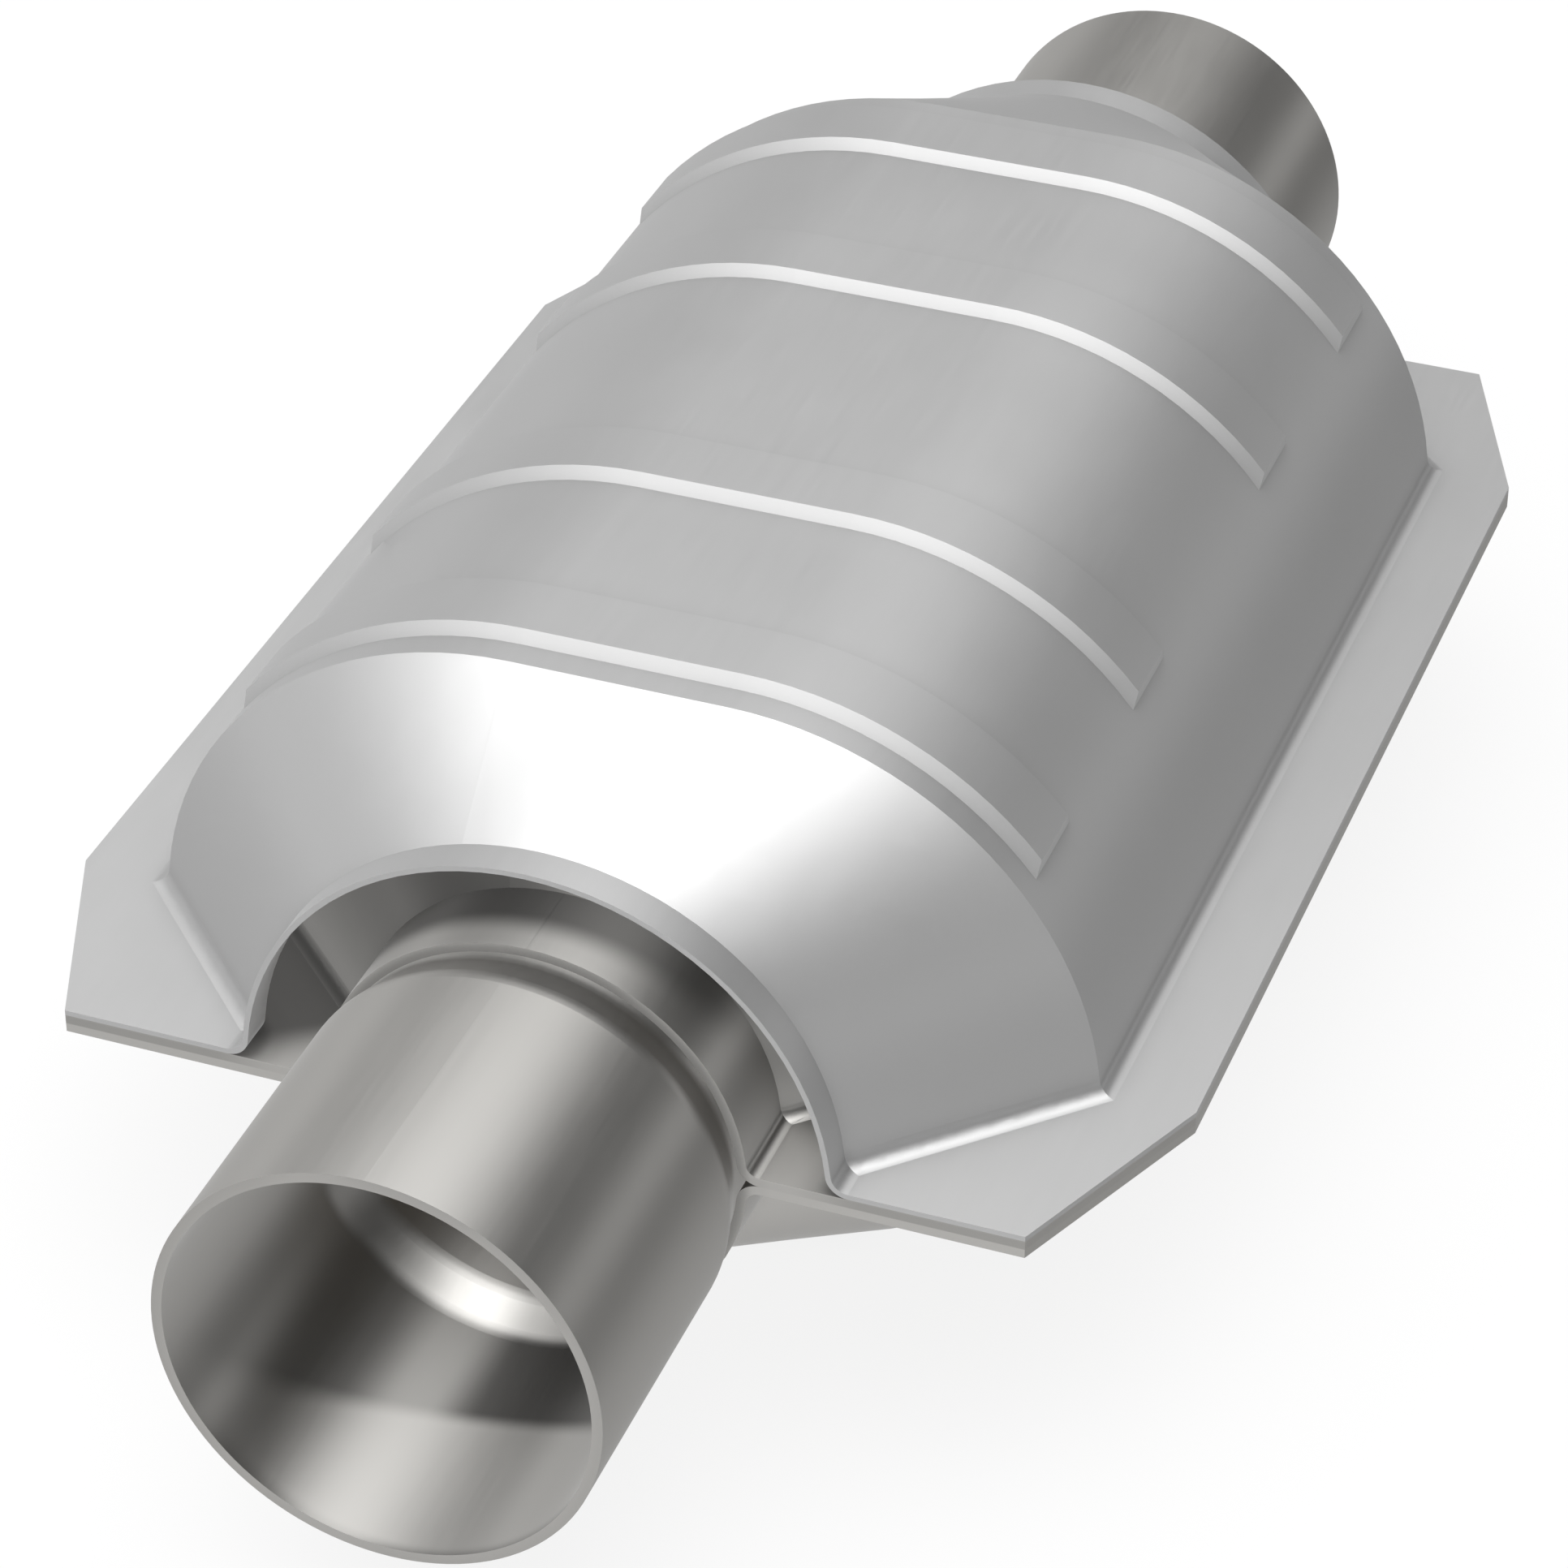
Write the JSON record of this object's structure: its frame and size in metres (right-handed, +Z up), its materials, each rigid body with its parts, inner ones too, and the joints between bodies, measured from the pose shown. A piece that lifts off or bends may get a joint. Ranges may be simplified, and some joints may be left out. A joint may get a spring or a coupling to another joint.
{
  "type": "catalytic converter",
  "caption": "Oval catalytic converter: pressed shells joined at a common seam flange round monolith bricks, with a pipe stub at each end and a ribbed heat shield on top.",
  "frame": {"origin": "on the flat underside of the lower shell, in the middle of the length and of the width", "axes": "+Y along the gas flow from the inlet to the outlet, +Z up through the heat shield, +X to the right of the flow"},
  "size_m": [0.1686, 0.3464, 0.0981],
  "materials": {
    "shield_steel": "satin stainless steel sheet",
    "shell_steel": "satin stainless steel sheet, slightly warmer grey",
    "pipe_steel": "smooth satin stainless tube",
    "brick_ceramic": "matt washcoated ceramic honeycomb, with matte_plastic standing in for it",
    "mat_fibre": "matt fibre mat",
    "seal_mesh": "dull knitted steel wire"
  },
  "bodies": {
    "root": {"heat_shield": "shield_steel", "upper_shell": "shell_steel", "lower_shell": "shell_steel", "inlet_pipe": "pipe_steel", "outlet_pipe": "pipe_steel", "inlet_brick": "brick_ceramic", "outlet_brick": "brick_ceramic", "inlet_mat": "mat_fibre", "outlet_mat": "mat_fibre", "inlet_front_seal": "seal_mesh", "inlet_rear_seal": "seal_mesh", "outlet_front_seal": "seal_mesh", "outlet_rear_seal": "seal_mesh"}
  },
  "joints": []
}
